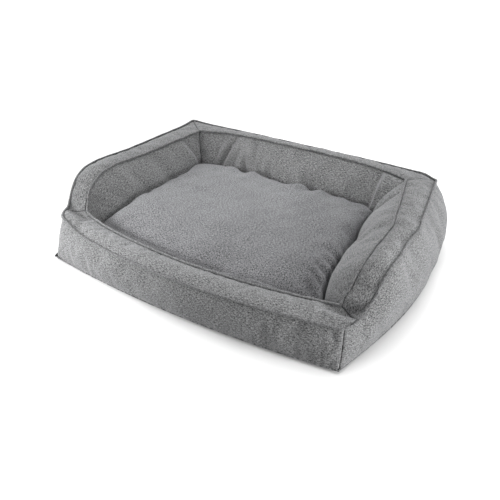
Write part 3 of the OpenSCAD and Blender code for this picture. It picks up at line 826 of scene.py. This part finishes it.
def unit(vectors):
    return vectors / np.linalg.norm(vectors, axis=1, keepdims=True)


def cord(name, seam, out, replaces, seed):
    """A covered cord along a seam, wandering a little. Its cover narrows to a flange in the seam."""
    line = smoothed(seam, 3)
    along = unit(np.roll(line, -1, 0) - np.roll(line, 1, 0))
    up = unit(smoothed(out - along * (out * along).sum(1, keepdims=True), 4))
    side = np.cross(along, up)
    lift = CORD_R * CORD_UP + 0.3 * wobble(line, 45, 31 + seed)
    line = line + up * lift[:, None] + side * 0.5 * wobble(line, 70, 41 + seed)[:, None]
    count, round_it = len(line), CORD_SEGMENTS
    a = np.arange(round_it) * 2 * np.pi / round_it
    reach = np.where(np.sin(a) < -0.9, CORD_KEEL, 1) * np.sin(a)
    p = line[:, None] + CORD_R * (
        np.cos(a)[None, :, None] * side[:, None] + reach[None, :, None] * up[:, None])
    faces = [
        [i * round_it + j, i * round_it + (j + 1) % round_it,
         ((i + 1) % count) * round_it + (j + 1) % round_it, ((i + 1) % count) * round_it + j]
        for i in range(count) for j in range(round_it)
    ]
    uv = np.stack(np.broadcast_arrays(arc(line)[:, None] * MM, a * CORD_R * MM), -1)
    add_piece(name, woven_mesh(name, p, faces, uv), CORD, [replaces])


cord("cord_outer", seam_line[0], seam_normal[0], "outer_cord", 0)
cord("cord_inner", seam_line[1], seam_normal[1], "inner_cord", 1)


# ---- base ----
def concentric(outline, count):
    """Maps a square grid onto the inside of an outline: points, and how far out each one is."""
    sx, sy = np.meshgrid(np.linspace(-1, 1, count), np.linspace(-1, 1, count))
    r = np.maximum(np.abs(sx), np.abs(sy))
    safe = np.maximum(r, 1e-9)
    x, y = sx / safe, sy / safe
    # sides of the square gone round from its front left corner, counter-clockwise
    q = np.where(y >= 1 - 1e-9, 2 + (1 - x) / 2, 3 + (1 - y) / 2)
    q = np.where(x >= 1 - 1e-9, 1 + (y + 1) / 2, q)
    q = np.mod(np.where(y <= -1 + 1e-9, (x + 1) / 2, q), 4)
    i = q * (len(outline) // 4)
    before = np.floor(i).astype(int) % len(outline)
    f = (i - np.floor(i))[..., None]
    return outline[before] * (1 - f) + outline[(before + 1) % len(outline)] * f, r


# inset and height: a lip that stands out at the seam, then the cloth curls under to the floor
BASE_EDGE = [
    (0.8, BASE_SEAM_H + 0.6), (-0.7, BASE_SEAM_H - 0.2), (-1.1, BASE_SEAM_H - 1.8), (-0.3, BASE_SEAM_H - 3),
    (1.6, 3.4), (5, 1.6), (11, 0.6), (20, 0.15), (34, 0.0),
]
BASE_N = 41


def base_mesh():
    """The underside: its rounded edge in loops, then a flat grid over the floor."""
    outline = np.concatenate([ring_at(BASE_SEAM, side, spaced(40)[:-1])[:, :2] for side in range(4)])
    middle = np.array([0, (BASE_FRONT_Y + BASE_BACK_Y) / 2])
    half = np.array([BASE_MID, (BASE_BACK_Y - BASE_FRONT_Y) / 2])
    loops = []
    for inset, z in BASE_EDGE:
        xy = middle + (outline - middle) * ((half - inset) / half)
        loops.append(np.column_stack([xy, np.full(len(xy), z)]))
    edge, r = concentric(loops[-1][:, :2], BASE_N)
    inside = middle + (edge - middle) * r[..., None]
    floor_points = np.column_stack([inside.reshape(-1, 2), np.zeros(BASE_N * BASE_N)])
    m, start = len(outline), len(outline) * len(loops)
    faces = [[a * m + i, (a + 1) * m + i, (a + 1) * m + (i + 1) % m, a * m + (i + 1) % m]
             for a in range(len(loops) - 1) for i in range(m)]
    faces += [[start + i for i in face[::-1]] for face in open_faces(BASE_N, BASE_N)]
    mesh = bpy.data.meshes.new("base")
    mesh.from_pydata((np.vstack(loops + [floor_points]) * MM).tolist(), [], faces)
    bm = bmesh.new()
    bm.from_mesh(mesh)
    bmesh.ops.remove_doubles(bm, verts=bm.verts, dist=0.0002)
    bmesh.ops.recalc_face_normals(bm, faces=bm.faces)
    bm.to_mesh(mesh)
    bm.free()
    set_uv(mesh, np.array([v.co[:2] for v in mesh.vertices]) + 5)
    return mesh


add_piece("base", base_mesh(), UNDER, ["base_panel"])

# ---- cushion ----
CUSHION_H, CUSHION_Z, CUSHION_R = 102, 2.4, 15
CUSHION_GAP = 4.5
SEAM_SHARE = 0.46
CUSHION_SIDE_N = 76
CUSHION_N = CUSHION_SIDE_N + 1


def well_at(side, u, gap):
    """The cushion's edge at a share along a wall: a gap in from where the wall's face comes nearest."""
    s = np.linspace(0, 1, 11)[:, None]
    high, low = ring_at(INNER_CORD, side, [u])[0], ring_at(FOOT, side, [u])[0]
    face = (high * (1 - s) + low * s)[:, :2]
    face = face + OUTWARD[side] * face_swell(INNER, side) * taper(u) * np.sin(np.pi * s)
    nearest = (face @ OUTWARD[side]).min()
    return face[-1] + OUTWARD[side] * (nearest - face[-1] @ OUTWARD[side] - gap)


def rounding(side):
    """The share of a wall that the cushion's rounded corner takes up."""
    return CUSHION_R / np.linalg.norm(corner(FOOT, side) - corner(FOOT, side + 1))


def bend(from_side, to_side, steps=16):
    """A rounded corner of the cushion, as a curve from the edge on one wall to that on the next."""
    a = well_at(from_side, 1 - rounding(from_side), CUSHION_GAP)
    b = well_at(to_side, rounding(to_side), CUSHION_GAP)
    e, f = well_at(from_side, 1, CUSHION_GAP), well_at(to_side, 0, CUSHION_GAP)
    tip = np.array([f[0], e[1]]) if from_side in (FRONT, BACK) else np.array([e[0], f[1]])
    return [a * (1 - t) ** 2 + tip * 2 * t * (1 - t) + b * t * t for t in np.linspace(0, 1, steps + 1)]


def resample(line, count):
    """Even steps along a line, without its last point."""
    s = arc(line)
    t = np.linspace(0, s[-1], count + 1)[:-1]
    return np.column_stack([np.interp(t, s, line[:, 0]), np.interp(t, s, line[:, 1])])


def cushion_outline():
    """Counter-clockwise from the middle of the front left corner, as many points for each wall."""
    sides = []
    for side in range(4):
        c = rounding(side)
        run = [well_at(side, c + (1 - 2 * c) * t, CUSHION_GAP) for t in np.linspace(0, 1, 44)]
        lead, tail = bend((side + 3) % 4, side)[8:-1], bend(side, (side + 1) % 4)[1:8]
        sides.append(np.array(lead + run + tail))
    starts = [side[0] for side in sides]
    return np.concatenate([
        resample(np.vstack([sides[i], starts[(i + 1) % 4]]), CUSHION_SIDE_N) for i in range(4)])


outline = cushion_outline()
# the fuller right wall pushes the cushion over against the left one
outline[:, 0] -= 9 + 11 * smoothstep(-outline[:, 0], 60, 270)
outline[:, 1] += 5 * smoothstep(outline[:, 1], 60, 180)
edge, r = concentric(outline, CUSHION_N)
at_seam = r >= 1 - 1e-6
cushion_mid = (outline.max(0) + outline.min(0)) / 2
# rows closer together near the edge
r_eased = 1 - (1 - r) ** 1.45
plan = cushion_mid + (edge - cushion_mid) * r_eased[..., None]


def swell_map(outline, cell=5.0, passes=2600):
    """Height of a blown-up sheet over the outline on a raster: 0 at its edge, 1 at the middle."""
    lo = outline.min(0) - 2 * cell
    nx, ny = (np.ceil((outline.max(0) + 2 * cell - lo) / cell)).astype(int) + 1
    gx, gy = np.meshgrid(lo[0] + np.arange(nx) * cell, lo[1] + np.arange(ny) * cell)
    inside = np.zeros(gx.shape, bool)
    for here, there in zip(outline, np.roll(outline, -1, 0)):
        crosses = (here[1] > gy) != (there[1] > gy)
        with np.errstate(divide="ignore", invalid="ignore"):
            at = (there[0] - here[0]) * (gy - here[1]) / (there[1] - here[1]) + here[0]
        inside ^= crosses & (gx < at)
    h = np.zeros(gx.shape)
    for _ in range(passes):
        h[1:-1, 1:-1] = 0.25 * (h[2:, 1:-1] + h[:-2, 1:-1] + h[1:-1, 2:] + h[1:-1, :-2]) + 1
        h[~inside] = 0
    return lo, cell, h / h.max()


def sample(raster, p):
    """The raster's height at points p."""
    lo, cell, h = raster
    f = (p - lo) / cell
    i = np.clip(np.floor(f).astype(int), 0, np.array(h.shape[::-1]) - 2)
    col, row = i[..., 0], i[..., 1]
    right, up = f[..., 0] - col, f[..., 1] - row
    low = h[row, col] * (1 - right) + h[row, col + 1] * right
    high = h[row + 1, col] * (1 - right) + h[row + 1, col + 1] * right
    return low * (1 - up) + high * up


# How far in from the seam a point lies on the stuffed sheet, and how high the cover is there
CUSHION_REACH = 218
CROWN_D = [0, 1, 3, 7, 14, 26, 44, 70, 105, 150, 230]
CROWN_H = [0, 0.42, 0.60, 0.72, 0.81, 0.885, 0.94, 0.972, 0.99, 0.998, 1.0]
BELLY_D = [0, 2, 6, 14, 26, 44, 300]
BELLY_H = [0, 0.34, 0.6, 0.83, 0.95, 1, 1]
swell = np.where(at_seam, 0, np.clip(sample(swell_map(outline), plan), 0.0005, 1))
inward = CUSHION_REACH * (1 - np.sqrt(np.clip(1 - swell, 0, 1)))
seam_z = CUSHION_Z + (CUSHION_H - CUSHION_Z) * SEAM_SHARE


def smoothed_crown(passes=4):
    crown = np.interp(inward, CROWN_D, CROWN_H)
    for _ in range(passes):
        wide = np.pad(crown, 1, mode="edge")
        mean = 0.25 * (wide[2:, 1:-1] + wide[:-2, 1:-1] + wide[1:-1, 2:] + wide[1:-1, :-2])
        crown = np.where(at_seam, 0, 0.5 * crown + 0.5 * mean)
    return crown


CUSHION_FOLDS = [
    # gathers where the cushion is tucked down beside the right wall
    ([(288, -216, 56), (268, -196, 74), (246, -176, 84)], 8, 8),
    ([(290, -186, 60), (270, -164, 80), (244, -148, 90)], 7.5, 7),
    ([(288, -152, 60), (268, -134, 84), (240, -122, 93)], 7, 8),
    ([(288, -118, 62), (270, -104, 85), (248, -96, 93)], 6, 7),
    ([(288, -86, 62), (266, -72, 87), (238, -64, 96)], 5, 8),
    ([(288, -46, 62), (270, -38, 86)], 4, 8),
    ([(288, -8, 62), (270, -2, 87)], 3.5, 8),
    # dents at the front, and at the back and left where the walls press on it
    ([(210, -246, 60), (202, -226, 86)], 4, 9),
    ([(-150, 210, 60), (-130, 180, 88), (-120, 150, 99)], 8, 15),
    ([(-8, 210, 60), (-4, 190, 88)], 4, 12),
    ([(86, 210, 60), (78, 180, 88), (72, 152, 99)], 8, 16),
    ([(196, 210, 60), (200, 180, 88)], 5, 12),
    ([(-300, 60, 60), (-272, 56, 89)], 2.5, 9),
    ([(-300, -60, 60), (-272, -52, 89)], 2.5, 9),
]


def open_normals(p):
    """Unit normals of a grid of points with free edges."""
    n = np.cross(np.gradient(p, axis=1), np.gradient(p, axis=0))
    return n / np.maximum(np.linalg.norm(n, axis=2, keepdims=True), 1e-9)


def stuffed_cushion(top_z):
    """The cushion's top: sloped, creased where it is tucked in, lumpy and then blown up a little."""
    p = np.dstack([plan, top_z])
    # it slopes down towards the front, and most where it is tucked under the right wall's front end
    slope = 24 * smoothstep(-p[..., 1], 80, 275)
    slope = slope + 7 * smoothstep(p[..., 0], 130, 265) * smoothstep(-p[..., 1], -60, 200)
    p[..., 2] -= slope * np.clip((1 - r) * 8, 0, 1)
    n = open_normals(p)
    hold = np.clip((1 - r) * 14, 0, 1)
    for line, depth, width in CUSHION_FOLDS:
        p = p + (fold(p, n, line, depth, width, 2) - p) * hold[..., None]
    p = p + n * (hold * (1.8 * wobble(p, 170, 21) + 0.8 * wobble(p, 60, 22)))[..., None]
    pin = np.clip((r - 0.955) / 0.045, 0, 1)
    faces = open_faces(CUSHION_N, CUSHION_N)
    return cloth(
        "pillow", p.reshape(-1, 3), faces, pin.ravel(), pressure=1.2, shrink=-0.015, cap=5).reshape(p.shape)


top_z = seam_z + (CUSHION_H - seam_z) * smoothed_crown()
bottom_z = seam_z - (seam_z - CUSHION_Z) * np.where(at_seam, 0, np.interp(inward, BELLY_D, BELLY_H))
cushion = stuffed_cushion(top_z)
bottom = np.dstack([plan, bottom_z])[:, ::-1]

# The cushion keeps clear of the walls that it is pressed against
CLEAR, CLEAR_PASSES, CLEAR_MOST = 1.5, 2, 25
LEVEL_LEAST = 0.3
well = grid[ROW_INNER:]
well_tree = BVHTree.FromPolygons(well.reshape(-1, 3).tolist(), band_faces(len(well)))


def keep_clear(p):
    """Moves points that are in a wall, or too near one, level and away from it."""
    points = p.reshape(-1, 3).copy()
    for _ in range(CLEAR_PASSES):
        for i, point in enumerate(points):
            at, normal, _, _ = well_tree.find_nearest(point.tolist(), 60)
            if at is None:
                continue
            away = np.array(normal[:])
            short = CLEAR - (point - np.array(at[:])) @ away
            level = np.hypot(away[0], away[1])
            if short > 0 and level > LEVEL_LEAST:
                points[i, :2] += away[:2] / level * min(short / level, CLEAR_MOST)
    return points.reshape(p.shape)


def square_sideways():
    """Which way is out, at each point of the cushion, along the nearest of its four sides."""
    step = np.linspace(-1, 1, CUSHION_N)
    square = np.dstack(np.meshgrid(step, step)) / np.maximum(r, 1e-9)[..., None]
    out = square * np.abs(square) ** 3
    return out / np.maximum(np.linalg.norm(out, axis=2, keepdims=True), 1e-9)


def cushion_half(name, p, weave, replaces, uv_at):
    mesh = woven_mesh(name, p, open_faces(CUSHION_N, CUSHION_N), weave * MM + uv_at)
    add_piece(name, mesh, PILLOW, replaces, body="cushion", fill=0.7)


# the weave runs on down the cushion's sides without stretching
sideways = square_sideways()
top_weave = plan + sideways * (CUSHION_H - top_z)[..., None]
bottom_weave = (plan + sideways * (bottom_z - CUSHION_Z)[..., None])[:, ::-1]
cushion_half("cushion_top", keep_clear(cushion), top_weave, ["cushion_top_panel", "cushion_fill"], 7)
cushion_half("cushion_bottom", keep_clear(bottom), bottom_weave, ["cushion_bottom_panel"], 9)

# ---- zip and label keep their CAD shapes ----
FINISHES = {
    "zip_tape": TAPE, "zip_teeth": TEETH, "zip_end_stops": METAL, "zip_slider": METAL, "zip_pull": METAL,
    "care_label": LABEL,
}
for node, material in FINISHES.items():
    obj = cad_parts[node]
    obj.data.materials.clear()
    obj.data.materials.append(material)

# ---- studio ----
FLOOR_HALF_M, FLOOR_Z_M = 14, -0.0005
DOME_HORIZON, DOME_ZENITH, DOME_POWER = 0.5, 6.2, 4.5
DOME_TOWARDS = Vector((-0.22, 0.48, 0.86)).normalized()


def pale_floor():
    corners = [
        (x * FLOOR_HALF_M, y * FLOOR_HALF_M, FLOOR_Z_M) for x, y in ((-1, -1), (1, -1), (1, 1), (-1, 1))]
    mesh = bpy.data.meshes.new("floor")
    mesh.from_pydata(corners, [], [[0, 1, 2, 3]])
    floor = bpy.data.objects.new("floor", mesh)
    bpy.context.scene.collection.objects.link(floor)
    material, _, _, shader = new_material("pale_floor")
    set_inputs(shader, {"Base Color": (0.56, 0.56, 0.56, 1), "Roughness": 0.9, "Specular IOR Level": 0.1})
    mesh.materials.append(material)


def pale_dome():
    """A pale dome, brightest high up behind the bed."""
    world = bpy.data.worlds.new("studio")
    bpy.context.scene.world = world
    world.use_nodes = True
    nodes, links = world.node_tree.nodes, world.node_tree.links
    sky = nodes["Background"]
    sky.inputs["Color"].default_value = (1, 1, 1, 1)
    coords = nodes.new("ShaderNodeTexCoord")
    dot = nodes.new("ShaderNodeVectorMath")
    dot.operation = "DOT_PRODUCT"
    links.new(coords.outputs["Generated"], dot.inputs[0])
    dot.inputs[1].default_value = DOME_TOWARDS
    up = math_node(nodes, links, "MAXIMUM", dot.outputs["Value"], 0.0)
    up = math_node(nodes, links, "POWER", up, DOME_POWER)
    up = math_node(nodes, links, "MULTIPLY", up, DOME_ZENITH)
    up = math_node(nodes, links, "ADD", up, DOME_HORIZON)
    links.new(up, sky.inputs["Strength"])


def softbox(name, at, aim, size, watts, spread=180):
    """A square light, in metres and degrees, that the camera doesn't see."""
    light = bpy.data.lights.new(name, "AREA")
    light.shape, light.energy = "RECTANGLE", watts
    light.size = light.size_y = size
    light.spread = math.radians(spread)
    obj = bpy.data.objects.new(name, light)
    bpy.context.scene.collection.objects.link(obj)
    obj.location = at
    obj.rotation_mode = "QUATERNION"
    obj.rotation_quaternion = (Vector(aim) - Vector(at)).to_track_quat("-Z", "Y")
    obj.visible_camera = False


pale_floor()
pale_dome()
bpy.context.scene.view_settings.view_transform = "Standard"
softbox("key_left", (-0.75, -0.95, 0.4), (-0.27, -0.3, 0.08), 0.3, 2.0, spread=44)
softbox("key_right", (1.9, -0.42, 0.22), (0.4, -0.26, 0.03), 0.9, 76)
softbox("key_back", (-0.2, -0.9, 1.6), (-0.07, 0.3, 0.17), 0.6, 0.9, spread=24)
